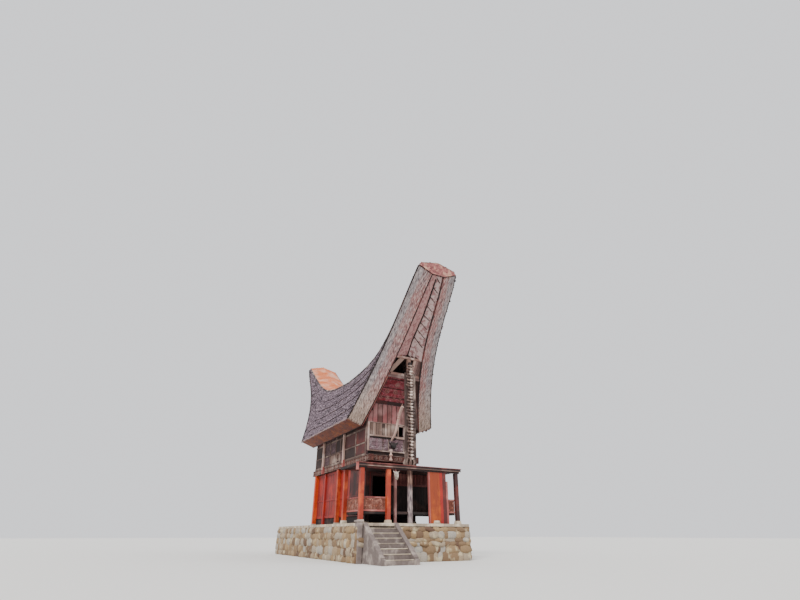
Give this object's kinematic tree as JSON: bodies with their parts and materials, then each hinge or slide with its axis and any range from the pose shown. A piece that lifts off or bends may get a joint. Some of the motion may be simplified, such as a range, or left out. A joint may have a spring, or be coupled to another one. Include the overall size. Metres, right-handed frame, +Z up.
{
  "type": "tongkonan house",
  "caption": "Boarded timber house on a stone plinth with front steps and a porch, under a saddle-backed bamboo roof with long rising horns at both ends.",
  "frame": {"origin": "on the ground, in the plinth's bottom face, under the middle of the house body", "axes": "+Z up, -Y towards the carved front with the porch and steps, +X to the right of someone facing the front from outside"},
  "size_m": [6.5, 19.8506, 15.8002],
  "materials": {
    "rubble_stone": "rough grey-brown rubble masonry",
    "step_concrete": "worn pale concrete",
    "bamboo_roof": "weathered grey layered bamboo",
    "ridge_sheet": "rusted orange sheet metal",
    "gable_timber": "maroon carved boards, matt",
    "red_timber": "red painted boards, worn",
    "orange_timber": "red-orange painted posts, satin",
    "carved_timber": "weathered carved boards, matt",
    "dark_timber": "dark aged timber, matt",
    "pale_timber": "pale bare timber, matt",
    "grey_trunk": "grey weathered round post"
  },
  "bodies": {
    "root": {"bird_carving": "pale_timber", "buffalo_head": "dark_timber", "carved_beam_back": "carved_timber", "carved_beam_front": "carved_timber", "floor_beam_left": "carved_timber", "floor_beam_right": "carved_timber", "floor_sleepers": "dark_timber", "front_steps": "step_concrete", "gable_panel_back": "gable_timber", "gable_panel_front": "gable_timber", "horn_cap_back": "gable_timber", "horn_cap_front": "gable_timber", "horn_pillar_back": "grey_trunk", "horn_pillar_front": "grey_trunk", "horn_soffit_back": "pale_timber", "horn_soffit_front": "pale_timber", "house_post_left_1": "orange_timber", "house_post_left_2": "orange_timber", "house_post_left_3": "orange_timber", "house_post_right_1": "orange_timber", "house_post_right_2": "orange_timber", "house_post_right_3": "orange_timber", "lower_back_wall": "red_timber", "lower_floor": "dark_timber", "lower_front_wall_left": "red_timber", "lower_front_wall_over": "red_timber", "lower_front_wall_right": "red_timber", "lower_tie_back": "pale_timber", "lower_tie_front": "pale_timber", "lower_wall_left": "red_timber", "lower_wall_right": "red_timber", "plinth": "rubble_stone", "porch_beam": "red_timber", "porch_canopy": "red_timber", "porch_deck": "dark_timber", "porch_post_inner_left": "orange_timber", "porch_post_inner_right": "orange_timber", "porch_post_left": "orange_timber", "porch_post_rear_left": "orange_timber", "porch_post_rear_right": "orange_timber", "porch_post_right": "orange_timber", "porch_screen": "dark_timber", "rail_front_left": "carved_timber", "rail_front_right": "carved_timber", "rail_side_left": "carved_timber", "rail_side_right": "carved_timber", "ridge_beam": "dark_timber", "ridge_cap": "ridge_sheet", "roof_leaf_left": "bamboo_roof", "roof_leaf_right": "bamboo_roof", "upper_floor": "dark_timber", "upper_tie_back": "pale_timber", "upper_tie_front": "pale_timber", "upper_wall_back": "carved_timber", "upper_wall_front": "carved_timber", "upper_wall_left": "carved_timber", "upper_wall_right": "carved_timber"}
  },
  "joints": []
}
